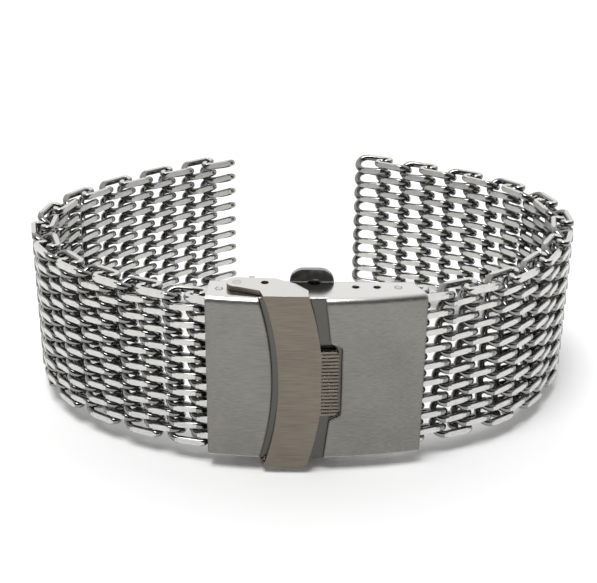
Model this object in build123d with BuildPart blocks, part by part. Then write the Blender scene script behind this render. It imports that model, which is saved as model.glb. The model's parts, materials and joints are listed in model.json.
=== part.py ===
# Shark mesh watch bracelet with a folding push-button clasp and a flip-lock.
# Each mesh row is one flattened wire coil that threads its neighbours. X runs to the right seen from
# outside the clasp, the clasp lies towards -Y and Z runs along the band's width.
from build123d import *
import os
from math import cos, hypot, pi, radians, sin, sqrt

# Mesh sizes in millimetres
band_width = 22.0        # width of the mesh before its edges are ground
wire_d = 0.98            # wire of the coils
loop_depth = 2.6         # outer limb to inner limb, middle to middle
coil_length = 6.1        # one coil, tip to tip
limb_rise = 0.14         # how far a limb climbs along its straight run
hook_r = 0.6             # small hook that closes each cut wire end
face_flat = 0.2          # ground away on the outer and the inner face
edge_flat = 0.1          # ground away on the band's two edges
row_pitch = 3.5          # from one row to the next, where the mesh lies neither pushed nor pulled
outer_limbs = 9          # outer limbs of a coil
rows = 22                # rows in each half; row 1 is the free end

# Where each half of the band points, in degrees from the clasp's own line, for some of its rows, and
# how far the rows there stand apart, as shares of the row pitch: the mesh has a little play
known_rows = (22, 19, 16, 13, 11, 8, 6, 4, 1)
right_headings = (14, 25, 53, 70, 93, 128, 147, 155, 158)
left_headings = (11, 26, 40, 69, 90, 127, 139, 145, 149)
right_pitch_shares = (1, 1, 1, 1, 1.02, 1.03, 1.045, 1.07, 1.08)
left_pitch_shares = (0.94, 0.945, 0.96, 0.975, 0.99, 1, 1.03, 1.055, 1.07)

# Clasp sizes
face_r = 70.0            # plan radius of the clasp's outer face
face_out = 4.0           # that face ahead of the band's middle, at x = 0
sheet = 0.8              # thickness of the outer face
thick_sheet = 1.3        # thickness around the recess for the flip-lock
recess = 0.6             # depth of that recess
side_wall = 0.5          # side walls of the cover and the end plate
wall_gap = 0.2           # mesh to side wall
wall_edge_y = 1.5        # inner edge of the side walls
lip_r = 0.9              # rounding between face and side walls
seam_x = -1.3            # seam between end plate and cover
seam_gap = 0.2
plate_left_x = -10.9
cover_right_x = 16.9
end_slope_y = -0.1       # where the cover's wall starts to slope back, and by how much
end_slope_x = 0.9
end_back_x = 1.6
plate_slope_x = 0.4
bar_y = 0.0              # row of micro-adjust holes in the cover
hole_x = 7.9             # first hole
hole_pitch = 2.675
hole_d = 0.95
holes = 3
left_bar_x = -9.2
left_bar_y = -0.8
bar_d = 1.2
bar_tip_d = 0.8
bar_end_gap = 0.1
bar_reach = 1.3          # spring bar to the middle of the row that hangs on it

# Flip-lock
flip_t = 0.8             # strip thickness
flip_gap = 0.15          # strip above the recess
arm_t = 0.6
arm_gap = 0.1
flip_left_x = -3.6       # strip's corners and how far its edges bulge
flip_right_x = 1.95
flip_bulge = 1.9
pivot_x = -7.0
pivot_y = -0.3
eye_r = 1.3
flip_pin_d = 1.0
pin_fit = 0.04           # radial clearance of a running fit
tab_left_x = 3.2
tab_right_x = 5.9
tab_length = 9.3
rib_pitch = 0.5
rib_groove = 0.22
rib_depth = 0.25
ribs = 18
tab_margin = 0.35
arm_hole_x = -3.5
arm_hole_y = -0.4
arm_hole_d = 1.0
arm_back_y = 0.85
arm_neck_x = -4.1
arm_neck_y = -2.7
arm_round_x = 0.3
arm_round_y = -0.6
arm_side_y = -2.6
channel_plate = 0.9      # recess beyond the strip, on the end plate and on the cover
channel_end = 2.0
channel_step = 1.4
step_z = 5.6
notch_z = 4.95
notch_x = 6.35
step_round = 0.6

# Folding blades
blade_t = 0.7
blade_width = 14.0
middle_y = 2.45          # outer faces of the two blades
blade_gap = 0.15
barrel_r = 0.85
blade_pin_d = 1.0
barrel_gap = 0.1
barrel_length = 6.8
blade_hinge_x = 12.0
cover_hinge_x = -0.35
ear_t = 1.4
foot_x = -5.6            # foot of the lower blade inside the end plate
foot_t = 0.7
foot_y = -2.2
window_margin = 0.3
slot_length = 5.0        # lightening slots in the blades
slot_width = 4.0
slot_round = 1.2
slot_middle_x = 6.3

# Push buttons
button_out = 1.8         # beyond the cover's side wall
button_left_x = -0.4
button_right_x = 5.2
button_t = 0.7
button_y = 1.15
button_shoulder = 0.5
shoulder_length = 2.4
shoulder_gap = 0.25
shank_x = 2.7
shank_width = 2.8
shank_end_z = 3.9
slide_gap = 0.05
notch_gap = 0.1
button_notch_gap = 0.1
guide_width = 4.1
guide_length = 14.0
guide_y = 2.3
guide_wall = 1.0         # wall between the two springs
spring_y = 1.2
spring_wire_d = 0.3
spring_mean_r = 0.5
spring_bore_d = 1.6
spring_turns = 4
spring_seat = 0.02
overrun = 2.0            # how far every cut runs past what it cuts

# Levels worked out from those sizes
wire_r = wire_d / 2
half_depth = loop_depth / 2
wire_pitch = (band_width - wire_d) / (outer_limbs - 0.5)
top_limb = wire_pitch * (outer_limbs - 0.5) / 2
flat_y = half_depth + wire_r - face_flat
flat_z = top_limb + wire_r - edge_flat
inner_half = band_width / 2 + wall_gap
wall_half = inner_half + side_wall
arm_in = wall_half + arm_gap
flip_half = arm_in + arm_t
button_half = wall_half + button_out
middle_z = button_half
face_y = face_r - face_out
recess_r = face_r - recess
under_r = face_r - thick_sheet
inner_r = face_r - sheet
flip_in_r = recess_r + flip_gap
flip_out_r = flip_in_r + flip_t
lower_y = middle_y + blade_t + blade_gap
blade_hinge_y = lower_y - blade_gap / 2
cover_hinge_y = middle_y + blade_t / 2
cover_left_x = seam_x + seam_gap / 2
plate_right_x = seam_x - seam_gap / 2
right_bar_x = hole_x + (holes - 1) * hole_pitch


def arc_y(radius, x):
    """Y of the arc of that radius about the clasp's plan centre."""
    return face_y - sqrt(radius * radius - x * x)


def biarc(start, start_way, end, end_way):
    """Corner points of two arcs that join start to end, tangent to both ways and to each other."""
    span = end - start
    k2 = 2 * (start_way.dot(end_way) - 1)
    k1 = -2 * span.dot(start_way + end_way)
    reach = (-k1 - sqrt(k1 * k1 - 4 * k2 * span.dot(span))) / (2 * k2)
    middle = (start + start_way * reach + end - end_way * reach) * 0.5
    return middle, middle - start - start_way * reach, reach


def bend(start, start_way, end, end_way):
    """Draws those two arcs in the current line."""
    middle, middle_way, reach = biarc(start, start_way, end, end_way)
    TangentArc(start, middle, tangent=start_way)
    TangentArc(middle, end, tangent=middle_way)


def limb_way(run, side):
    """Direction of a limb that climbs by limb_rise over the given run, towards that side."""
    slope = hypot(run, limb_rise)
    return Vector(side * run / slope, 0, limb_rise / slope)


def straight_run():
    """Straight length of a limb, so that its two bends end at the coil's tips."""
    run = coil_length - wire_d - loop_depth
    for refine in range(30):
        low = Vector(0, half_depth, -wire_pitch / 2 - limb_rise)
        way = limb_way(run, 1)
        reach = biarc(Vector(0, -half_depth, 0), way, low, limb_way(run, -1))[2]
        run = coil_length - wire_d - 2 * reach * way.X
    return run


def every_row(known):
    """Values for every row, from row 22 at the clasp to row 1 at the free end."""
    values = []
    for row in range(rows, 0, -1):
        for first, last, start, stop in zip(known_rows, known_rows[1:], known, known[1:]):
            if last <= row <= first:
                value = start + (stop - start) * (first - row) / (first - last)
        values.append(value)
    return values


def chain(bar, angles, shares, side):
    """Middle of every row and the hinge on its clasp side, along one half of the band."""
    middles, hinges = [], [bar]
    ways = [Vector(side * cos(radians(a)), sin(radians(a))) for a in angles]
    here = bar + ways[0] * bar_reach
    for way, onward, share in zip(ways, ways[1:] + ways[-1:], shares):
        middles.append(here)
        hinges.append(here + way * share * row_pitch / 2)
        here = here + (way + onward) * share * row_pitch / 2
    return middles, hinges


# One coil. Outer limbs climb to the right and inner ones to the left; a bend at each tip leads down
# from one face to the other. Both cut ends lie at the left tip and turn in with a hook.
run = straight_run()
limb_x = run / 2
hook_x = (coil_length - wire_d) / 2 - hook_r
with BuildPart() as coil:
    with BuildLine() as wire:
        hook_tip = Vector(-hook_x - hook_r, hook_r - half_depth, top_limb)
        TangentArc(Vector(-hook_x, 2 * hook_r - half_depth, top_limb), hook_tip, tangent=(-1, 0, 0))
        TangentArc(hook_tip, Vector(-hook_x, -half_depth, top_limb), tangent=(0, -1, 0))
        here, way = Vector(limb_x, -half_depth, top_limb), Vector(1, 0, 0)
        Line(Vector(-hook_x, -half_depth, top_limb), here)
        for turn in range(2 * outer_limbs - 1):
            side = 1 if turn % 2 == 0 else -1
            level = top_limb - (turn + 1) * wire_pitch / 2
            last = turn == 2 * outer_limbs - 2
            climb = 0 if last else limb_rise / 2
            onward = Vector(-side, 0, 0) if last else limb_way(run, -side)
            foot = Vector(side * limb_x, side * half_depth, level - climb)
            far = Vector(-side * (hook_x if last else limb_x), side * half_depth, level + climb)
            bend(here, way, foot, onward)
            Line(foot, far)
            here, way = far, onward
        hook_tip = Vector(-hook_x - hook_r, half_depth - hook_r, here.Z)
        TangentArc(here, hook_tip, tangent=(-1, 0, 0))
        TangentArc(hook_tip, Vector(-hook_x, half_depth - 2 * hook_r, here.Z), tangent=(0, -1, 0))
    path = wire.wires()[0]
    with BuildSketch(Plane(origin=path @ 0, z_dir=path % 0)):
        Circle(wire_r)
    sweep(path=path)
    Box(coil_length + overrun, 2 * flat_y, 2 * flat_z, mode=Mode.INTERSECT)

# Rows of both halves, placed about the clasp. Every second coil is turned half round, so each one
# threads the next. The bracelet's own middle is found from the rows' reach and the flip-lock's face.
right_angles, left_angles = every_row(right_headings), every_row(left_headings)
right_shares, left_shares = every_row(right_pitch_shares), every_row(left_pitch_shares)
right_middles, right_hinges = chain(Vector(right_bar_x, bar_y), right_angles, right_shares, 1)
left_middles, left_hinges = chain(Vector(left_bar_x, left_bar_y), left_angles, left_shares, -1)
places = {}
for n in range(rows):
    row = rows - n
    turned = 180 if row % 2 == 0 else 0
    spot = right_middles[n]
    places[f"mesh_row_right_{row:02d}"] = (spot.X, spot.Y, right_angles[n] + turned)
    spot = left_middles[n]
    places[f"mesh_row_left_{row:02d}"] = (spot.X, spot.Y, 180 - left_angles[n] - turned)
reach = [coil.part.moved(Location((x, y, 0), (0, 0, a))).bounding_box() for x, y, a in places.values()]
centre_x = (min(b.min.X for b in reach) + max(b.max.X for b in reach)) / 2
centre_y = (face_y - flip_out_r + max(b.max.Y for b in reach)) / 2
ground = Plane(origin=(-centre_x, -centre_y, 0))
waist = ground.offset(middle_z)


def level(height):
    """Plan sketch plane at that height above the band's mid-plane."""
    return waist.offset(height)


def front(y):
    """Upright sketch plane at that y, seen from outside: sketch x is x, sketch y is height."""
    return Plane(origin=(-centre_x, y - centre_y, middle_z), x_dir=(1, 0, 0), z_dir=(0, -1, 0))


def shell_outline(radius, x0, x1, left_back, right_back):
    """Plan outline between an arc of the clasp's face and the walls' inner edge."""
    ends = [(x0, arc_y(radius, x0)), (x1, arc_y(radius, x1))]
    crown = ((x0 + x1) / 2, arc_y(radius, (x0 + x1) / 2))
    face = ThreePointArc(ends[0], crown, ends[1])
    walls = Polyline(ends[1], (right_back[0], end_slope_y), (right_back[1], wall_edge_y),
                     (left_back[1], wall_edge_y), (left_back[0], end_slope_y), ends[0])
    return face.edges() + walls.edges()


def room_outline(radius, x0, x1):
    """Plan outline of the room between the side walls, under that radius, from x0 to x1."""
    left, right = (x0, arc_y(radius, x0)), (x1, arc_y(radius, x1))
    crown = ((x0 + x1) / 2, arc_y(radius, (x0 + x1) / 2))
    back = wall_edge_y + overrun
    face = ThreePointArc(left, crown, right)
    rest = Polyline(right, (x1, back), (x0, back), left)
    return face.edges() + rest.edges()


def bulging(x, half, shift):
    """Upright edge of the flip-lock moved by shift: its two ends and its middle."""
    return (x + shift, -half), (x + shift + flip_bulge, 0), (x + shift, half)


def strip_edge(x, z):
    """X of a bulging edge at that height."""
    return x + flip_bulge * (1 - (z / flip_half) ** 2)


# Outside of the recess level, for cutting recesses and shaping the strip
with BuildPart() as recess_level:
    with BuildSketch(level(-button_half)):
        with Locations((0, face_y)):
            Circle(recess_r)
    extrude(amount=2 * button_half)
with BuildPart() as rib_level:
    with BuildSketch(level(-button_half)):
        with Locations((0, face_y)):
            Circle(flip_out_r - rib_depth)
    extrude(amount=2 * button_half)

# End plate: outer face, two side walls and a recess for the flip-lock along its right edge
with BuildPart() as plate_recess:
    with BuildSketch(front(-face_out - overrun)):
        with BuildLine():
            low, bulge, high = bulging(flip_left_x, flip_half, -channel_plate)
            ThreePointArc(low, bulge, high)
            Polyline(high, (plate_right_x + overrun, high[1]), (plate_right_x + overrun, low[1]), low)
        make_face()
    extrude(amount=-2 * overrun)
    add(recess_level.part, mode=Mode.SUBTRACT)
plate_step_x = flip_left_x - channel_plate - sheet
left_back = (plate_left_x + plate_slope_x / 2, plate_left_x + plate_slope_x)
plate_outline = shell_outline(face_r, plate_left_x, plate_right_x, left_back, (plate_right_x, plate_right_x))
plate_rooms = (room_outline(inner_r, plate_left_x - overrun, plate_step_x),
               room_outline(under_r, plate_step_x, plate_right_x + overrun))
with BuildPart() as end_plate:
    with BuildSketch(level(-wall_half)):
        make_face(plate_outline)
    extrude(amount=2 * wall_half)
    lips = end_plate.edges().filter_by(GeomType.CIRCLE)
    fillet(lips, radius=lip_r)
    for room in plate_rooms:
        with BuildSketch(level(-inner_half)):
            make_face(room)
        extrude(amount=2 * inner_half, mode=Mode.SUBTRACT)
    add(plate_recess.part, mode=Mode.SUBTRACT)
    with BuildSketch(level(-wall_half)):
        with Locations((left_bar_x, left_bar_y)):
            Circle(hole_d / 2)
        with Locations((pivot_x, pivot_y)):
            Circle(flip_pin_d / 2)
    extrude(amount=2 * wall_half, mode=Mode.SUBTRACT)

# Cover: the same face with a raised field that steps round the thumb tab, three micro-adjust holes
# in each side wall, ears for its hinge pin and the guide that the push buttons slide in
with BuildPart() as cover_recess:
    with BuildSketch(front(-face_out - overrun)):
        with BuildLine():
            far = wall_half + overrun
            step_x = strip_edge(flip_right_x, step_z) + channel_step
            end_x = flip_right_x + channel_end
            mid_z = (far + step_z) / 2
            mid_x = strip_edge(flip_right_x, mid_z) + (channel_step + channel_end) / 2
            ThreePointArc((end_x, far), (mid_x, mid_z), (step_x, step_z))
            Polyline((step_x, step_z), (notch_x, notch_z), (notch_x, -notch_z), (step_x, -step_z))
            ThreePointArc((step_x, -step_z), (mid_x, -mid_z), (end_x, -far))
            Polyline((end_x, -far), (cover_left_x - overrun, -far), (cover_left_x - overrun, far), (end_x, far))
        make_face()
        fillet([v for v in vertices() if abs(v.Y) < step_z + slide_gap], radius=step_round)
    extrude(amount=-2 * overrun)
    add(recess_level.part, mode=Mode.SUBTRACT)
thin_from = notch_x + sheet
right_back = (cover_right_x - end_slope_x, cover_right_x - end_back_x)
cover_outline = shell_outline(face_r, cover_left_x, cover_right_x, (cover_left_x, cover_left_x), right_back)
cover_rooms = (room_outline(under_r, cover_left_x - overrun, thin_from),
               room_outline(inner_r, thin_from, cover_right_x + overrun))
with BuildPart() as clasp_cover:
    with BuildSketch(level(-wall_half)):
        make_face(cover_outline)
    extrude(amount=2 * wall_half)
    fillet(clasp_cover.edges().filter_by(GeomType.CIRCLE), radius=lip_r)
    for room in cover_rooms:
        with BuildSketch(level(-inner_half)):
            make_face(room)
        extrude(amount=2 * inner_half, mode=Mode.SUBTRACT)
    add(cover_recess.part, mode=Mode.SUBTRACT)
    with BuildSketch(level(-wall_half)):
        with Locations(*[(hole_x + n * hole_pitch, bar_y) for n in range(holes)]):
            Circle(hole_d / 2)
        notch_y = button_y - notch_gap
        with Locations(((button_left_x + button_right_x) / 2, notch_y)):
            Rectangle(button_right_x - button_left_x + 2 * button_notch_gap, overrun,
                      align=(Align.CENTER, Align.MIN))
    extrude(amount=2 * wall_half, mode=Mode.SUBTRACT)
    ear_in = barrel_length / 2 + barrel_gap
    for side in (-1, 1):
        with BuildSketch(level(side * (ear_in + ear_t / 2) - ear_t / 2)):
            with Locations((cover_hinge_x, cover_hinge_y)):
                Circle(barrel_r)
            with Locations((cover_hinge_x, face_y - under_r - thick_sheet / 4)):
                Rectangle(2 * barrel_r, cover_hinge_y - face_y + under_r + thick_sheet / 4,
                          align=(Align.CENTER, Align.MIN))
            with Locations((cover_hinge_x, cover_hinge_y)):
                Circle(blade_pin_d / 2, mode=Mode.SUBTRACT)
        extrude(amount=ear_t)
    guide_top = face_y - under_r - thick_sheet / 4
    with BuildSketch(level(-guide_length / 2)):
        with Locations((shank_x, guide_top)):
            Rectangle(guide_width, guide_y - guide_top, align=(Align.CENTER, Align.MIN))
    extrude(amount=guide_length)
    for side in (-1, 1):
        with BuildSketch(level(side * guide_wall / 2)):
            with Locations((shank_x, button_y - slide_gap)):
                Rectangle(shank_width + 2 * slide_gap, button_t + 2 * slide_gap,
                          align=(Align.CENTER, Align.MIN))
            with Locations((shank_x, spring_y)):
                Circle(spring_bore_d / 2)
        extrude(amount=side * guide_length, mode=Mode.SUBTRACT)

# Flip-lock: strip across the seam with bulging edges, a ribbed thumb tab and an arm at each end
with BuildPart() as ribs_cut:
    with BuildSketch(front(face_y - flip_out_r - overrun)):
        tab_middle = (tab_left_x + tab_right_x) / 2 + tab_margin
        with Locations((tab_middle, 0)):
            with GridLocations(overrun, rib_pitch, 1, ribs):
                Rectangle(tab_right_x - tab_left_x - tab_margin, rib_groove)
    extrude(amount=-2 * overrun)
    add(rib_level.part, mode=Mode.SUBTRACT)
with BuildPart() as flip_lock:
    with BuildSketch(front(face_y - flip_out_r - overrun)):
        with BuildLine():
            low, bulge, high = bulging(flip_left_x, flip_half, 0)
            low2, bulge2, high2 = bulging(flip_right_x, flip_half, 0)
            ThreePointArc(low, bulge, high)
            Line(high, high2)
            ThreePointArc(high2, bulge2, low2)
            Line(low2, low)
        make_face()
        with Locations(((tab_left_x + tab_right_x) / 2, 0)):
            RectangleRounded(tab_right_x - tab_left_x, tab_length, step_round)
    extrude(amount=-2 * overrun)
    with BuildSketch(level(-flip_half)):
        with Locations((0, face_y)):
            Circle(flip_out_r)
            Circle(flip_in_r, mode=Mode.SUBTRACT)
    extrude(amount=2 * flip_half, mode=Mode.INTERSECT)
    add(ribs_cut.part, mode=Mode.SUBTRACT)
    for side in (-1, 1):
        with BuildSketch(level(side * (arm_in + arm_t / 2) - arm_t / 2)):
            with BuildLine():
                tip_y = arc_y(flip_out_r, flip_right_x)
                heel_y = arc_y(flip_out_r, flip_left_x)
                middle_x = (flip_left_x + flip_right_x) / 2
                ThreePointArc((flip_left_x, heel_y), (middle_x, arc_y(flip_out_r, middle_x)),
                              (flip_right_x, tip_y))
                Polyline((flip_right_x, tip_y), (flip_right_x, arm_side_y), (arm_round_x, arm_round_y),
                         (arm_hole_x + eye_r, arm_back_y), (pivot_x, pivot_y + eye_r),
                         (pivot_x, pivot_y - eye_r), (arm_neck_x, arm_neck_y), (flip_left_x, heel_y))
            make_face()
            with Locations((pivot_x, pivot_y)):
                Circle(eye_r)
            with Locations((pivot_x, pivot_y)):
                Circle(flip_pin_d / 2 + pin_fit, mode=Mode.SUBTRACT)
            with Locations((arm_hole_x, arm_hole_y)):
                Circle(arm_hole_d / 2, mode=Mode.SUBTRACT)
        extrude(amount=arm_t)

# Flip-lock pin through the end plate's walls and the two arms
with BuildPart() as flip_lock_pin:
    with BuildSketch(level(-flip_half)):
        with Locations((pivot_x, pivot_y)):
            Circle(flip_pin_d / 2)
    extrude(amount=2 * flip_half)

# Lower blade: fixed by its foot between the end plate's walls, with two hinge barrels at its far end
# and a window for the cover's hinge
lower_mid = lower_y + blade_t / 2
side_barrel = (blade_width - barrel_length) / 2 - barrel_gap
with BuildPart() as lower_blade:
    with BuildSketch(level(-inner_half)):
        with Locations((foot_x, foot_y)):
            Rectangle(foot_t, lower_y + blade_t - foot_y, align=(Align.MIN, Align.MIN))
    extrude(amount=2 * inner_half)
    with BuildSketch(level(-blade_width / 2)):
        with Locations((foot_x, lower_y)):
            Rectangle(blade_hinge_x - foot_x, blade_t, align=(Align.MIN, Align.MIN))
        with Locations((blade_hinge_x, blade_hinge_y)):
            Circle(barrel_r)
    extrude(amount=blade_width)
    window = barrel_r + window_margin
    with BuildSketch(front(lower_y - overrun)):
        with Locations((cover_hinge_x, 0)):
            RectangleRounded(2 * window, 2 * (ear_in + ear_t + window_margin), window_margin)
        with Locations((slot_middle_x, 0)):
            RectangleRounded(slot_length, slot_width, slot_round)
    extrude(amount=-blade_t - 2 * overrun, mode=Mode.SUBTRACT)
    with BuildSketch(level(-barrel_length / 2 - barrel_gap)):
        with Locations((blade_hinge_x - barrel_r - barrel_gap, blade_hinge_y)):
            Rectangle(2 * barrel_r + overrun, 2 * overrun, align=(Align.MIN, Align.CENTER))
    extrude(amount=barrel_length + 2 * barrel_gap, mode=Mode.SUBTRACT)
    with BuildSketch(level(-blade_width / 2)):
        with Locations((blade_hinge_x, blade_hinge_y)):
            Circle(blade_pin_d / 2)
    extrude(amount=blade_width, mode=Mode.SUBTRACT)

# Middle blade: a barrel between the lower blade's two, and one between the cover's ears
with BuildPart() as middle_blade:
    with BuildSketch(level(-blade_width / 2)):
        with Locations((cover_hinge_x, middle_y)):
            Rectangle(blade_hinge_x - cover_hinge_x, blade_t, align=(Align.MIN, Align.MIN))
    extrude(amount=blade_width)
    with BuildSketch(front(middle_y - overrun)):
        with Locations((slot_middle_x, 0)):
            RectangleRounded(slot_length, slot_width, slot_round)
        for side in (-1, 1):
            for edge, far in ((cover_hinge_x, 1), (blade_hinge_x, -1)):
                with Locations((edge + far * (barrel_r + barrel_gap), side * (barrel_length / 2))):
                    Rectangle(2 * barrel_r + overrun, blade_width,
                              align=(Align.MAX if far > 0 else Align.MIN, Align.MIN if side > 0 else Align.MAX))
    extrude(amount=-blade_t - 2 * overrun, mode=Mode.SUBTRACT)
    with BuildSketch(level(-barrel_length / 2)):
        with Locations((cover_hinge_x, cover_hinge_y), (blade_hinge_x, blade_hinge_y)):
            Circle(barrel_r)
    extrude(amount=barrel_length)
    with BuildSketch(level(-barrel_length / 2)):
        with Locations((cover_hinge_x, cover_hinge_y), (blade_hinge_x, blade_hinge_y)):
            Circle(blade_pin_d / 2 + pin_fit)
    extrude(amount=barrel_length, mode=Mode.SUBTRACT)

with BuildPart() as blade_hinge_pin:
    with BuildSketch(level(-blade_width / 2)):
        with Locations((blade_hinge_x, blade_hinge_y)):
            Circle(blade_pin_d / 2)
    extrude(amount=blade_width)

with BuildPart() as cover_hinge_pin:
    with BuildSketch(level(-ear_in - ear_t)):
        with Locations((cover_hinge_x, cover_hinge_y)):
            Circle(blade_pin_d / 2)
    extrude(amount=2 * (ear_in + ear_t))

# Spring bars, a stepped pin in each clasp half that carries the last mesh row
bars = {}
for name, x, y in (("spring_bar_right", right_bar_x, bar_y), ("spring_bar_left", left_bar_x, left_bar_y)):
    with BuildPart() as spring_bar:
        with BuildSketch(level(-inner_half + bar_end_gap)):
            with Locations((x, y)):
                Circle(bar_d / 2)
        extrude(amount=2 * (inner_half - bar_end_gap))
        with BuildSketch(level(-wall_half)):
            with Locations((x, y)):
                Circle(bar_tip_d / 2)
        extrude(amount=2 * wall_half)
    bars[name] = spring_bar.part

# Push buttons: a half-moon tab outside the side wall, a shoulder inside it and a shank in the guide;
# each one has a coil spring between its shank and the guide's middle wall
buttons = {}
spring_length = shank_end_z - guide_wall / 2
for name, side in (("upper", 1), ("lower", -1)):
    with BuildPart() as push_button:
        with BuildSketch(front(button_y)):
            half_width = (button_right_x - button_left_x) / 2
            middle = (button_left_x + button_right_x) / 2
            shoulder_z = inner_half - shoulder_gap
            with Locations((middle, side * shoulder_z)):
                Rectangle(2 * half_width, button_half - shoulder_z,
                          align=(Align.CENTER, Align.MIN if side > 0 else Align.MAX))
            outer = [v for v in vertices() if abs(v.Y) > wall_half]
            fillet(outer, radius=button_out)
            with Locations((middle, side * shoulder_z)):
                Rectangle(2 * (half_width + button_shoulder), shoulder_length,
                          align=(Align.CENTER, Align.MAX if side > 0 else Align.MIN))
            with Locations((shank_x, side * shoulder_z)):
                Rectangle(shank_width, shoulder_z - shank_end_z,
                          align=(Align.CENTER, Align.MAX if side > 0 else Align.MIN))
        extrude(amount=-button_t)
    buttons["push_button_" + name] = push_button.part
    with BuildPart() as button_spring:
        with BuildLine() as coil_line:
            seat = guide_wall / 2 + spring_wire_d / 2 + spring_seat
            rise = (spring_length - spring_wire_d - 2 * spring_seat) / (2 * spring_turns)
            slope = hypot(pi * spring_mean_r, rise)
            here = Vector(spring_mean_r + shank_x - centre_x, spring_y - centre_y, middle_z + side * seat)
            way = Vector(0, pi * spring_mean_r / slope, side * rise / slope)
            for half_turn in range(2 * spring_turns):
                across = -2 * spring_mean_r if half_turn % 2 == 0 else 2 * spring_mean_r
                there = here + Vector(across, 0, side * rise)
                back = Vector(0, -way.Y, way.Z)
                bend(here, way, there, back)
                here, way = there, back
        turns = coil_line.wires()[0]
        with BuildSketch(Plane(origin=turns @ 0, z_dir=turns % 0)):
            Circle(spring_wire_d / 2)
        sweep(path=turns)
    buttons["button_spring_" + name] = button_spring.part

# The least gap of each wound wire to itself, measured on points along its middle line
for title, line, thick in (("mesh coil", path, wire_d), ("button spring", turns, spring_wire_d)):
    count = int(line.length / (thick / 4))
    points = [line @ (n / count) for n in range(count + 1)]
    skip = int(pi * thick / (line.length / count)) + 1
    gap = min((a - b).length for n, a in enumerate(points) for b in points[n + skip:]) - thick
    print(f"{title}: wire {line.length:.2f} mm, least gap to itself {gap:.3f} mm")

# Every piece is labelled and written
os.makedirs("parts", exist_ok=True)
pieces = {
    "clasp_cover": clasp_cover.part, "end_plate": end_plate.part, "flip_lock": flip_lock.part,
    "flip_lock_pin": flip_lock_pin.part, "lower_blade": lower_blade.part, "middle_blade": middle_blade.part,
    "blade_hinge_pin": blade_hinge_pin.part, "cover_hinge_pin": cover_hinge_pin.part,
}
pieces.update(bars)
pieces.update(buttons)
for name, (x, y, angle) in places.items():
    with BuildPart(ground) as mesh_row:
        with Locations(Location((x, y, middle_z), (0, 0, angle))):
            add(coil.part)
    pieces[name] = mesh_row.part
for name, piece in pieces.items():
    piece.label = name
    export_step(piece, f"parts/{name}.step")

# Joint places for the record, in this frame
print(f"centre {centre_x:.4f} {centre_y:.4f} middle_z {middle_z:.3f}")
for title, hinges, angles in (("right", right_hinges, right_angles), ("left", left_hinges, left_angles)):
    for n in range(rows + 1):
        angle = angles[min(n, rows - 1)]
        spot = hinges[n]
        print(f"hinge {title} {rows - n} {spot.X - centre_x:.4f} {spot.Y - centre_y:.4f} {angle:.3f}")
for title, x, y in (("flip_lock", pivot_x, pivot_y), ("blade_hinge", blade_hinge_x, blade_hinge_y),
                    ("cover_hinge", cover_hinge_x, cover_hinge_y)):
    print(f"place {title} {x - centre_x:.4f} {y - centre_y:.4f}")
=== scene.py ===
# %% [markdown]
# Shark mesh watch bracelet
#
# A watch bracelet made of flattened wire coils that thread each other like hinges, closed by a folding
# clasp with a flip-lock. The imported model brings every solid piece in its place, in metres. This file
# gives those pieces their steel, rebuilds the wire coils with Geometry Nodes, and lights and frames them.

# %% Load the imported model
import json
from math import atan2, cos, pi, radians, sin, sqrt
import bmesh
import bpy
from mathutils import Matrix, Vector


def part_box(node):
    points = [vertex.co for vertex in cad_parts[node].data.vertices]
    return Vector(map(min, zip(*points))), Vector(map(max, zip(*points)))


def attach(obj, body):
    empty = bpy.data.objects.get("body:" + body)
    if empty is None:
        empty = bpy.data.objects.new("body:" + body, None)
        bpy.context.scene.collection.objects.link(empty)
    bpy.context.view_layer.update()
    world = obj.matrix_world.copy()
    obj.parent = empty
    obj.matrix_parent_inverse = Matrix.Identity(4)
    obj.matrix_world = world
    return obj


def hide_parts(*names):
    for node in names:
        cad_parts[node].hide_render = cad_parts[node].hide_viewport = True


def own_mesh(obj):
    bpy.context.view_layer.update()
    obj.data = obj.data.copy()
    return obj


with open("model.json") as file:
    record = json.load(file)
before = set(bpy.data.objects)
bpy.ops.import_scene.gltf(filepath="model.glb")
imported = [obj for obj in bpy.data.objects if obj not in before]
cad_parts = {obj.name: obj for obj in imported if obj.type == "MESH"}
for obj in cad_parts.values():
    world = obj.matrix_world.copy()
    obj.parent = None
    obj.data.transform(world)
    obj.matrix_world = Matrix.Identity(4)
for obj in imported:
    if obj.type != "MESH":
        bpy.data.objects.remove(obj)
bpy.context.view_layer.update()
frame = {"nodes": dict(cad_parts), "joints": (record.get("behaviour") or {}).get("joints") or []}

MM = 0.001

# %% [markdown]
# Colours are easiest to match as hex values read from a picture, but shaders work in linear light, so
# one function turns a hex value into linear numbers. A second one starts a material. A third adds any
# node with its settings, values and links, which keeps each material below short enough to read as a
# recipe. A value can be a number, a socket, or a node, which stands for its first socket in use.

# %% Helpers for materials and trees
MATH, MIX, NOISE, STEP = "ShaderNodeMath", "ShaderNodeMix", "ShaderNodeTexNoise", "ShaderNodeMapRange"
FACTOR, FIRST, SECOND = 0, 6, 7  # a Mix node's colour sockets share their names with others


def linear(hex_colour):
    parts = [int(hex_colour[i:i + 2], 16) / 255 for i in (1, 3, 5)]
    return tuple(c / 12.92 if c <= 0.04045 else ((c + 0.055) / 1.055) ** 2.4 for c in parts) + (1.0,)


def new_material(name):
    material = bpy.data.materials.new(name)
    material.use_nodes = True
    material.node_tree.nodes.clear()
    return material, material.node_tree


def put(tree, kind, inputs=None, **settings):
    node = tree.nodes.new(kind)
    for name, value in settings.items():
        setattr(node, name, value)
    for name, value in (inputs or {}).items():
        if isinstance(value, bpy.types.Node):
            value = next(socket for socket in value.outputs if socket.enabled)
        if isinstance(value, bpy.types.NodeSocket):
            tree.links.new(value, node.inputs[name])
        else:
            node.inputs[name].default_value = value
    return node


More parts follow.
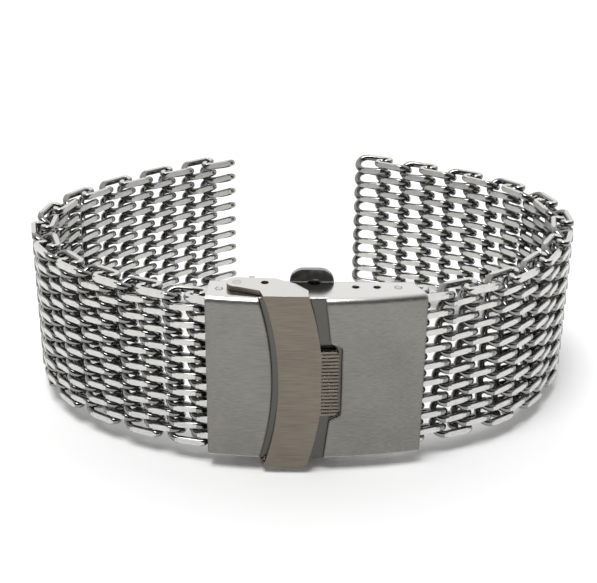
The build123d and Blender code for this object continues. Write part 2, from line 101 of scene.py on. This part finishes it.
print("half grey in linear light:", [round(part, 3) for part in linear("#808080")])

# %% [markdown]
# Satin stainless steel, on the clasp's cover, end plate, flip-lock and blades. Their faces are brushed
# with an abrasive belt along the band, which leaves scratches of about 0.05 mm that run in X. They are
# too fine for the picture, so the grain is drawn at 0.12 mm across and some 4 mm long. The side walls
# and the rounded lips, which point up or down, are polished smoother and painted lighter: a painted
# highlight for the bright light above and the white paper below. The floor of the recess that the
# flip-lock lies in is smooth and painted dark as shade in the recess. It is found by its distance from
# the middle of the clasp's curve. A narrow bevel in the shading stands for the edges that polishing
# has rounded.

# %% Brushed steel of the clasp
FACE_RADIUS, RECESS, FACE_MIDDLE = 70.0, 0.6, (-1.6665, 42.4726)  # the clasp's curve, in millimetres
SUNK_BAND = (0.8, 1.2)  # the recess's floor lies between these shares of its depth
# The recess floor's colour is painted shade, darker than the satin face around it.
RECESS_SHADE_COLOUR, POLISHED_ROUGH = "#5a5955", 0.2
STREAK_MM, GRAIN_MM, CLOUD_MM, STREAK_SHARE = 4.0, 0.12, 6.0, 0.75
STREAK_LOW, STREAK_HIGH, GRAIN_LOW, GRAIN_HIGH = 0.35, 0.65, 0.3, 0.7  # between these the noise changes
# Walls get a smoother polish and a painted highlight, a lighter colour for the light they catch.
WALL_FROM, WALL_TO = 0.25, 0.8  # how far a face points up or down before it counts as a wall
GRAIN_DEPTH_MM, GRAIN_STRENGTH, BEVEL_SAMPLES = 0.02, 0.12, 4


def recess_floor(tree, place):
    spot = put(tree, "ShaderNodeSeparateXYZ", {"Vector": place})
    squares = []
    for axis, middle in zip("XY", FACE_MIDDLE):
        offset = put(tree, MATH, {0: spot.outputs[axis], 1: middle * MM}, operation="SUBTRACT")
        squares.append(put(tree, MATH, {0: offset, 1: offset}, operation="MULTIPLY"))
    total = put(tree, MATH, {0: squares[0], 1: squares[1]}, operation="ADD")
    radius = put(tree, MATH, {0: total}, operation="SQRT")
    outer, inner = ((FACE_RADIUS - share * RECESS) * MM for share in SUNK_BAND)
    within = put(tree, MATH, {0: radius, 1: outer}, operation="LESS_THAN")
    beyond_inner = put(tree, MATH, {0: radius, 1: inner}, operation="GREATER_THAN")
    return put(tree, MATH, {0: within, 1: beyond_inner}, operation="MULTIPLY")


def brushed_steel(name, dark, light, wall_highlight_colour, rough, bevel_mm=0.22):
    material, tree = new_material(name)
    place = put(tree, "ShaderNodeTexCoord").outputs["Object"]
    across = 1 / (GRAIN_MM * MM)
    stretch = put(tree, "ShaderNodeMapping", {"Vector": place,
                  "Scale": (1 / (STREAK_MM * MM), across, across)})
    grain = put(tree, NOISE, {"Vector": stretch, "Scale": 1.0, "Detail": 3.0, "Roughness": 0.6})
    cloud = put(tree, NOISE, {"Vector": place, "Scale": 1 / (CLOUD_MM * MM), "Detail": 2.0})
    streaks = put(tree, MATH, {
        0: put(tree, MATH, {0: grain, 1: STREAK_SHARE}, operation="MULTIPLY"),
        1: put(tree, MATH, {0: cloud, 1: 1 - STREAK_SHARE}, operation="MULTIPLY")}, operation="ADD")
    shade = put(tree, STEP, {"Value": streaks, "From Min": STREAK_LOW, "From Max": STREAK_HIGH},
                interpolation_type="SMOOTHSTEP")
    face = put(tree, MIX, {FACTOR: shade, FIRST: linear(dark), SECOND: linear(light)}, data_type="RGBA")

    facing = put(tree, "ShaderNodeNewGeometry").outputs["Normal"]
    upward = put(tree, "ShaderNodeSeparateXYZ", {"Vector": facing}).outputs["Z"]
    steepness = put(tree, MATH, {0: upward}, operation="ABSOLUTE")
    # Faces that point up or down are smoother and get a painted highlight, a lighter base colour.
    walls_polished_and_highlit = put(tree, STEP, {"Value": steepness, "From Min": WALL_FROM, "From Max": WALL_TO},
                interpolation_type="SMOOTHSTEP")
    # The recess floor is smoother, and painted dark as shade in the recess.
    recess_smooth_and_shaded = recess_floor(tree, place)
    with_recess_shade = put(tree, MIX, {FACTOR: recess_smooth_and_shaded, FIRST: face, SECOND: linear(RECESS_SHADE_COLOUR)}, data_type="RGBA")
    colour = put(tree, MIX, {FACTOR: walls_polished_and_highlit, FIRST: with_recess_shade, SECOND: linear(wall_highlight_colour)}, data_type="RGBA")

    smooth = put(tree, MATH, {0: walls_polished_and_highlit, 1: recess_smooth_and_shaded}, operation="MAXIMUM")
    brushed = put(tree, STEP, {"Value": grain, "From Min": GRAIN_LOW, "From Max": GRAIN_HIGH,
                  "To Min": rough - 0.05, "To Max": rough + 0.07}, interpolation_type="SMOOTHSTEP")
    not_smooth = put(tree, MATH, {0: 1.0, 1: smooth}, operation="SUBTRACT")
    spread = put(tree, MATH, {
        0: put(tree, MATH, {0: brushed, 1: not_smooth}, operation="MULTIPLY"),
        1: put(tree, MATH, {0: smooth, 1: POLISHED_ROUGH}, operation="MULTIPLY")}, operation="ADD")
    edges = put(tree, "ShaderNodeBevel", {"Radius": bevel_mm * MM}, samples=BEVEL_SAMPLES)
    relief = put(tree, "ShaderNodeBump", {"Height": grain, "Strength": GRAIN_STRENGTH,
                 "Distance": GRAIN_DEPTH_MM * MM, "Normal": edges})
    steel = put(tree, "ShaderNodeBsdfPrincipled", {"Base Color": colour, "Metallic": 1.0,
                "Roughness": spread, "Normal": relief})
    put(tree, "ShaderNodeOutputMaterial", {"Surface": steel})
    return material


# The last colour of each steel is the painted highlight on its walls and lips.
satin_steel = brushed_steel("satin_stainless_steel", "#7a7973", "#8e8c86", "#dcdbd8", 0.4, bevel_mm=0.4)
flap_steel = brushed_steel("satin_stainless_flap", "#726b61", "#857d72", "#d8d6d2", 0.38, bevel_mm=0.03)
blade_steel = brushed_steel("satin_blade_steel", "#a2a3a0", "#b4b5b2", "#c4c4c1", 0.3)
print("brushed steels:", satin_steel.name, flap_steel.name, blade_steel.name)

# %% [markdown]
# Polished steel, on pins, springs and push buttons. The buttons' copy is painted darker, a painted
# reflection of dark surroundings on their faces. Polished stainless steel shows its surroundings
# almost like a mirror. A faint cloudiness of the roughness keeps it from looking like a computer's
# perfect chrome.

# %% Polished steel
HAZE_MM = 0.8


def polished_steel(name, colour, rough):
    material, tree = new_material(name)
    place = put(tree, "ShaderNodeTexCoord").outputs["Object"]
    haze = put(tree, NOISE, {"Vector": place, "Scale": 1 / (HAZE_MM * MM), "Detail": 3.0})
    spread = put(tree, STEP, {"Value": haze, "From Min": GRAIN_LOW, "From Max": GRAIN_HIGH,
                 "To Min": rough - 0.03, "To Max": rough + 0.05})
    steel = put(tree, "ShaderNodeBsdfPrincipled", {"Base Color": linear(colour), "Metallic": 1.0,
                "Roughness": spread})
    put(tree, "ShaderNodeOutputMaterial", {"Surface": steel})
    return material


bright_steel = polished_steel("polished_stainless_steel", "#c9c9c6", 0.12)
# The push buttons' steel is painted darker than the pins' steel, a painted dark reflection.
button_steel_painted_dark = polished_steel("polished_button_steel_painted_dark", "#9a9a98", 0.18)
print("polished steels:", bright_steel.name, button_steel_painted_dark.name)

# %% [markdown]
# Ground steel, on the wire's flats. After the mesh is woven, its outer and inner faces and its two edges
# are ground on a belt, which leaves matt pale flats on every wire while the wire's sides stay polished.
# The coil's tree below writes 1 on each ground face, and this material reads it: polished wire where the
# value is 0, painted darker than bare steel as shade in the crevices between the coils and as the dark
# room it mirrors, and a pale grained matt steel where it is 1.

# %% Wire steel with its ground flats
# The wire's colour is painted shade and painted dark reflection, darker than bare polished steel.
WIRE_SHADED_COLOUR, FLAT_COLOURS = "#8f8f8c", ("#c6c5c1", "#e0dfdb")
WIRE_STREAK_MM, WIRE_GRAIN_MM, WIRE_GRAIN_DEPTH_MM, WIRE_GRAIN_STRENGTH = 0.9, 0.09, 0.01, 0.1
BRIGHT_ROUGH, GROUND_ROUGH = 0.1, 0.4

wire_steel, tree = new_material("drawn_wire_with_ground_flats")
ground = put(tree, "ShaderNodeAttribute", attribute_name="ground").outputs["Fac"]
along = put(tree, "ShaderNodeAttribute", attribute_name="coil_place").outputs["Vector"]
across = 1 / (WIRE_GRAIN_MM * MM)
fine = put(tree, "ShaderNodeMapping", {"Vector": along,
           "Scale": (1 / (WIRE_STREAK_MM * MM), across, across)})
scratches = put(tree, NOISE, {"Vector": fine, "Scale": 1.0, "Detail": 3.0})
matt = put(tree, "ShaderNodeValToRGB", {"Fac": scratches})
for stop, position, colour in zip(matt.color_ramp.elements, (GRAIN_LOW, GRAIN_HIGH), FLAT_COLOURS):
    stop.position, stop.color = position, linear(colour)
tone = put(tree, MIX, {FACTOR: ground, FIRST: linear(WIRE_SHADED_COLOUR), SECOND: matt}, data_type="RGBA")
spread = put(tree, STEP, {"Value": ground, "To Min": BRIGHT_ROUGH, "To Max": GROUND_ROUGH})
relief = put(tree, "ShaderNodeBump", {"Height": scratches, "Strength": WIRE_GRAIN_STRENGTH,
             "Distance": WIRE_GRAIN_DEPTH_MM * MM})
steel = put(tree, "ShaderNodeBsdfPrincipled", {"Base Color": tone, "Metallic": 1.0, "Roughness": spread,
            "Normal": relief})
put(tree, "ShaderNodeOutputMaterial", {"Surface": steel})
print("wire steel:", wire_steel.name, "with", len(tree.nodes), "nodes")

# %% [markdown]
# The line of one coil. A mesh row is a single wire wound flat: limbs on the outer face climb a little,
# a bend leads down to the inner face, and so on from top to bottom. Each bend is two arcs that meet
# with one direction, the same way the real wire flows round its mandrel. Both cut ends turn in with a
# small hook. The points are worked out here from the same sizes as the solid, and become a chain of
# edges that the tree turns into wire.

# %% Sizes of the coil, in millimetres
band_width, wire_d, loop_depth, coil_length = 22.0, 0.98, 2.6, 6.1
limb_rise, hook_r, face_flat, edge_flat, outer_limbs = 0.14, 0.6, 0.2, 0.1, 9
half_depth = loop_depth / 2
wire_pitch = (band_width - wire_d) / (outer_limbs - 0.5)
top_limb = wire_pitch * (outer_limbs - 0.5) / 2
flat_y = half_depth + wire_d / 2 - face_flat
flat_z = top_limb + wire_d / 2 - edge_flat
print(f"wire pitch {wire_pitch:.3f} mm, flats at {flat_y:.3f} and {flat_z:.3f} mm from the coil's middle")

# %% Two arcs between two directions
ARC_STEPS, REFINEMENTS = 6, 30


def biarc(a, a_way, b, b_way):
    span = b - a
    k2 = 2 * (a_way.dot(b_way) - 1)
    k1 = -2 * span.dot(a_way + b_way)
    reach = (-k1 - sqrt(k1 * k1 - 4 * k2 * span.dot(span))) / (2 * k2)
    middle = (a + a_way * reach + b - b_way * reach) / 2
    return middle, (middle - a - a_way * reach).normalized(), reach


def arc(a, a_way, b):
    chord = b - a
    side = chord - a_way * chord.dot(a_way)
    radius = chord.length_squared / (2 * side.length)
    side.normalize()
    whole = 2 * atan2(chord.dot(side), chord.dot(a_way))
    turns = [whole * step / ARC_STEPS for step in range(1, ARC_STEPS + 1)]
    return [a + a_way * (radius * sin(turn)) + side * (radius * (1 - cos(turn))) for turn in turns]


def limb_way(run, side):
    return Vector((side * run, 0, limb_rise)).normalized()


run = coil_length - wire_d - loop_depth
for _ in range(REFINEMENTS):
    foot = Vector((0, half_depth, -wire_pitch / 2 - limb_rise))
    reach = biarc(Vector((0, -half_depth, 0)), limb_way(run, 1), foot, limb_way(run, -1))[2]
    run = coil_length - wire_d - 2 * reach * limb_way(run, 1).x
limb_x, hook_x = run / 2, (coil_length - wire_d) / 2 - hook_r
print(f"straight run {run:.3f} mm, bend reaches {reach:.3f} mm further")

# %% Points along one coil
def hook(start_y, level):
    tip = Vector((-hook_x - hook_r, start_y - hook_r, level))
    return (arc(Vector((-hook_x, start_y, level)), Vector((-1, 0, 0)), tip)
            + arc(tip, Vector((0, -1, 0)), Vector((-hook_x, start_y - 2 * hook_r, level))))


def coil_line():
    hook_start = 2 * hook_r - half_depth
    line = [Vector((-hook_x, hook_start, top_limb))] + hook(hook_start, top_limb)
    here, way = Vector((limb_x, -half_depth, top_limb)), Vector((1, 0, 0))
    line.append(here)
    bends = 2 * outer_limbs - 1
    for bend in range(bends):
        side = 1 if bend % 2 == 0 else -1
        level = top_limb - (bend + 1) * wire_pitch / 2
        last = bend == bends - 1
        climb = 0 if last else limb_rise / 2
        onward = Vector((-side, 0, 0)) if last else limb_way(run, -side)
        foot = Vector((side * limb_x, side * half_depth, level - climb))
        far = Vector((-side * (hook_x if last else limb_x), side * half_depth, level + climb))
        middle, middle_way, _ = biarc(here, way, foot, onward)
        line += arc(here, way, middle) + arc(middle, middle_way, foot) + [far]
        here, way = far, onward
    return line + hook(half_depth, here.z)


line = coil_line()
coil_mesh = bpy.data.meshes.new("coil_line")
coil_mesh.from_pydata([tuple(p * MM) for p in line], [(i, i + 1) for i in range(len(line) - 1)], [])
print("points along one coil:", len(line))

# %% [markdown]
# The coil's tree. Geometry Nodes suit this piece, because every row is the same wire at another place.
# The tree turns the line into a curve, sweeps a circle of twenty sides along it with upright normals, so
# that a corner of the circle always faces straight out, and then grinds the wire: every point beyond a
# face or an edge is set back onto it, which gives exact flats. It keeps each point's place in the coil
# for the grain, marks the ground faces, and turns and moves the coil to its row. The wire's sizes are
# inputs too, so the same tree could make a finer or a coarser mesh.

# %% Inputs of the coil tree
WIRE_SIDES = 20

coil_tree = bpy.data.node_groups.new("mesh_row", "GeometryNodeTree")
sockets = coil_tree.interface
sockets.new_socket("Geometry", in_out="INPUT", socket_type="NodeSocketGeometry")
for name, kind, value in (("Wire radius", "NodeSocketFloat", wire_d / 2 * MM),
                          ("Face flat at", "NodeSocketFloat", flat_y * MM),
                          ("Edge flat at", "NodeSocketFloat", flat_z * MM),
                          ("Sides", "NodeSocketInt", WIRE_SIDES),
                          ("Turn", "NodeSocketFloat", 0.0),
                          ("Place", "NodeSocketVector", (0.0, 0.0, 0.0)),
                          ("Steel", "NodeSocketMaterial", None)):
    socket = sockets.new_socket(name, in_out="INPUT", socket_type=kind)
    if value is not None:
        socket.default_value = value
sockets.new_socket("Geometry", in_out="OUTPUT", socket_type="NodeSocketGeometry")
inlets = {s.name: s.identifier for s in sockets.items_tree if s.in_out == "INPUT"}
print("inputs of the coil tree:", sorted(inlets))

# %% Sweep and grind the wire
ON_FLAT = 0.002 * MM  # a point this near to a flat's limit belongs to the flat

given = put(coil_tree, "NodeGroupInput").outputs
curve = put(coil_tree, "GeometryNodeMeshToCurve", {"Mesh": given["Geometry"]})
upright = put(coil_tree, "GeometryNodeSetCurveNormal", {"Curve": curve}, mode="Z_UP")
ring = put(coil_tree, "GeometryNodeCurvePrimitiveCircle", {"Resolution": given["Sides"],
           "Radius": given["Wire radius"]})
wire = put(coil_tree, "GeometryNodeCurveToMesh", {"Curve": upright, "Profile Curve": ring,
           "Fill Caps": True})
place = put(coil_tree, "GeometryNodeInputPosition")
apart = put(coil_tree, "ShaderNodeSeparateXYZ", {"Vector": place}).outputs


def held(value, limit):
    low = put(coil_tree, MATH, {0: limit, 1: -1.0}, operation="MULTIPLY")
    top = put(coil_tree, MATH, {0: value, 1: limit}, operation="MINIMUM")
    return put(coil_tree, MATH, {0: top, 1: low}, operation="MAXIMUM")


def beyond(value, limit):
    size = put(coil_tree, MATH, {0: value}, operation="ABSOLUTE")
    near = put(coil_tree, MATH, {0: limit, 1: ON_FLAT}, operation="SUBTRACT")
    return put(coil_tree, MATH, {0: size, 1: near}, operation="GREATER_THAN")


joined = put(coil_tree, "ShaderNodeCombineXYZ", {"X": apart["X"],
             "Y": held(apart["Y"], given["Face flat at"]), "Z": held(apart["Z"], given["Edge flat at"])})
grind = put(coil_tree, "GeometryNodeSetPosition", {"Geometry": wire, "Position": joined})
print("nodes so far:", len(coil_tree.nodes))

# %% Mark the flats and bring the coil to its row
kept = put(coil_tree, "GeometryNodeStoreNamedAttribute", {"Geometry": grind, "Name": "coil_place",
           "Value": place}, data_type="FLOAT_VECTOR", domain="POINT")
flats = put(coil_tree, MATH, {0: beyond(apart["Y"], given["Face flat at"]),
            1: beyond(apart["Z"], given["Edge flat at"])}, operation="MAXIMUM")
marked = put(coil_tree, "GeometryNodeStoreNamedAttribute", {"Geometry": kept, "Name": "ground",
             "Value": flats}, data_type="FLOAT", domain="FACE")
round_sides = put(coil_tree, MATH, {0: flats, 1: 0.5}, operation="LESS_THAN")
smooth = put(coil_tree, "GeometryNodeSetShadeSmooth", {"Geometry": marked,
             "Shade Smooth": round_sides}, domain="FACE")
spin = put(coil_tree, "ShaderNodeCombineXYZ", {"Z": given["Turn"]})
moved = put(coil_tree, "GeometryNodeTransform", {"Geometry": smooth, "Translation": given["Place"],
            "Rotation": spin})
real = put(coil_tree, "GeometryNodeRealizeInstances", {"Geometry": moved})
steeled = put(coil_tree, "GeometryNodeSetMaterial", {"Geometry": real, "Material": given["Steel"]})
put(coil_tree, "NodeGroupOutput", {"Geometry": steeled})
print("nodes in the coil tree:", len(coil_tree.nodes))

# %% [markdown]
# One coil for each row. A row's hinge on its clasp side comes from the model's joints, and its middle is
# the middle of its solid's box, so the line from one to the other gives its heading. Every second row is
# the same coil turned half round, which is what lets neighbours thread each other.

# %% Make the rows
row_joints = [joint for joint in frame["joints"] if joint["child"].startswith("row_")]
for joint in row_joints:
    body = joint["child"]
    _, side, number = body.split("_")
    node = f"mesh_row_{side}_{number}"
    low, high = (Vector(c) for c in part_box(node))
    middle = (low + high) / 2
    hinge = Vector(joint["pos_m"])
    heading = atan2(middle.y - hinge.y, middle.x - hinge.x) + (pi if side == "left" else 0.0)
    even = int(number) % 2 == 0
    half_round = pi if even == (side == "right") else 0.0
    piece = bpy.data.objects.new(f"coil_{side}_{number}", coil_mesh)
    bpy.context.scene.collection.objects.link(piece)
    maker = piece.modifiers.new("mesh_row", "NODES")
    maker.node_group = coil_tree
    maker[inlets["Turn"]] = heading + half_round
    maker[inlets["Place"]] = tuple(middle)
    maker[inlets["Steel"]] = wire_steel
    ready = piece.evaluated_get(bpy.context.evaluated_depsgraph_get())
    mesh = bpy.data.meshes.new_from_object(ready)
    piece.modifiers.clear()
    piece.data = mesh
    mesh.name = piece.name
    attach(piece, body)
    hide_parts(node)
print("mesh rows made:", len(row_joints), "with", len(mesh.polygons), "faces each")

# %% [markdown]
# The clasp's solids already have the right shapes, down to the ribs of the thumb tab, so they only need
# their finishes: satin on the cover and the end plate, a slightly warmer satin on the flip-lock, a paler
# one on the blades inside, and bright steel on pins and springs.

# %% Finish the clasp's pieces
finishes = {
    "clasp_cover": satin_steel, "end_plate": satin_steel, "flip_lock": flap_steel,
    "lower_blade": blade_steel, "middle_blade": blade_steel, "flip_lock_pin": bright_steel,
    "blade_hinge_pin": bright_steel, "cover_hinge_pin": bright_steel, "spring_bar_right": bright_steel,
    "spring_bar_left": bright_steel, "button_spring_upper": bright_steel,
    "button_spring_lower": bright_steel, "push_button_upper": button_steel_painted_dark,
    "push_button_lower": button_steel_painted_dark,
}
for node, material in finishes.items():
    piece = frame["nodes"][node]
    piece.data.materials.clear()
    piece.data.materials.append(material)
print("clasp pieces finished:", len(finishes))

# %% [markdown]
# The two small springs behind the push buttons shorten as their button is pressed, by its travel of
# 0.8 mm. Their inner ends sit at the block between the two. Here a copy of each solid from the packed
# model, with its steel, takes its place and is held to the clasp's cover. The copy keeps its length.

# %% Copy the button springs
for end in ("upper", "lower"):
    node = f"button_spring_{end}"
    low, high = (Vector(c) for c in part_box(node))
    piece = bpy.data.objects.new(f"spring_coil_{end}", frame["nodes"][node].data.copy())
    bpy.context.scene.collection.objects.link(piece)
    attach(piece, "clasp_cover")
    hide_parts(node)
    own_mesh(piece)

# %% [markdown]
# Stage and surroundings. The bracelet stands on white paper. The room is bright behind it and dark on
# the camera's side, which draws the dark lines that polished wire shows between its highlights. A
# gradient in the world does this with one soft step, and needs no walls that would stand in the way of
# other views.

# %% Floor and surroundings
FLOOR_HALF = 3.0  # metres
DARK_UNTIL, BRIGHT_FROM, DARK, BRIGHT = -0.75, 0.65, 0.04, 1.05  # along Y, from the front to the back

floor_mesh = bpy.data.meshes.new("white_floor")
shape = bmesh.new()
bmesh.ops.create_grid(shape, x_segments=1, y_segments=1, size=FLOOR_HALF)
shape.to_mesh(floor_mesh)
shape.free()
floor = bpy.data.objects.new("white_floor", floor_mesh)
bpy.context.scene.collection.objects.link(floor)
paper, tree = new_material("white_paper")
matt_white = put(tree, "ShaderNodeBsdfDiffuse", {"Color": linear("#fcfcfc")})
put(tree, "ShaderNodeOutputMaterial", {"Surface": matt_white})
floor.data.materials.append(paper)
world = bpy.data.worlds.new("white_room")
world.use_nodes = True
room = world.node_tree
room.nodes.clear()
sky = put(room, "ShaderNodeTexCoord").outputs["Generated"]
backward = put(room, "ShaderNodeSeparateXYZ", {"Vector": sky}).outputs["Y"]
glow = put(room, STEP, {"Value": backward, "From Min": DARK_UNTIL, "From Max": BRIGHT_FROM,
           "To Min": DARK, "To Max": BRIGHT}, interpolation_type="SMOOTHSTEP")
air = put(room, "ShaderNodeBackground", {"Color": (1, 1, 1, 1), "Strength": glow})
put(room, "ShaderNodeOutputWorld", {"Surface": air})
bpy.context.scene.world = world
print("floor", 2 * FLOOR_HALF, "m wide, room from", DARK, "to", BRIGHT)

# %% [markdown]
# Lamp. A soft panel above the bracelet, a little in front and to the left, gives the bright upper edges
# and brings the light on the paper to the plain level at which white just shows as white. A sun of wide
# angle is such a panel at a distance: its light is even, and its shadow has a soft edge.

# %% Lamp
panel = bpy.data.lights.new("soft_panel_above", "SUN")
panel.energy, panel.angle = 2.1, radians(28)
panel_item = bpy.data.objects.new("soft_panel_above", panel)
panel_item.rotation_euler = (radians(14), radians(-8), 0)
bpy.context.scene.collection.objects.link(panel_item)
print("light on the paper from the panel:", round(panel.energy / pi, 2))

# %% [markdown]
# Camera. The picture was taken from about 160 mm before the clasp, looking down at it by 26 degrees. The
# lens follows from the size of the bracelet in the frame.

# %% Place the camera
eye = bpy.data.cameras.new("camera")
eye.lens, eye.sensor_width = 75.6, 36.0
eye.clip_start = 0.01
camera = bpy.data.objects.new("camera", eye)
bpy.context.scene.collection.objects.link(camera)
camera.location = (-0.00167, -0.16501, 0.0938)
camera.rotation_euler = (radians(63.9), radians(-0.6), 0)
bpy.context.scene.camera = camera
bpy.context.scene.view_settings.view_transform = "Standard"
low, high = (Vector(c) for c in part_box("clasp_cover"))
print("camera to the clasp's cover in mm:", round((camera.location - (low + high) / 2).length / MM))
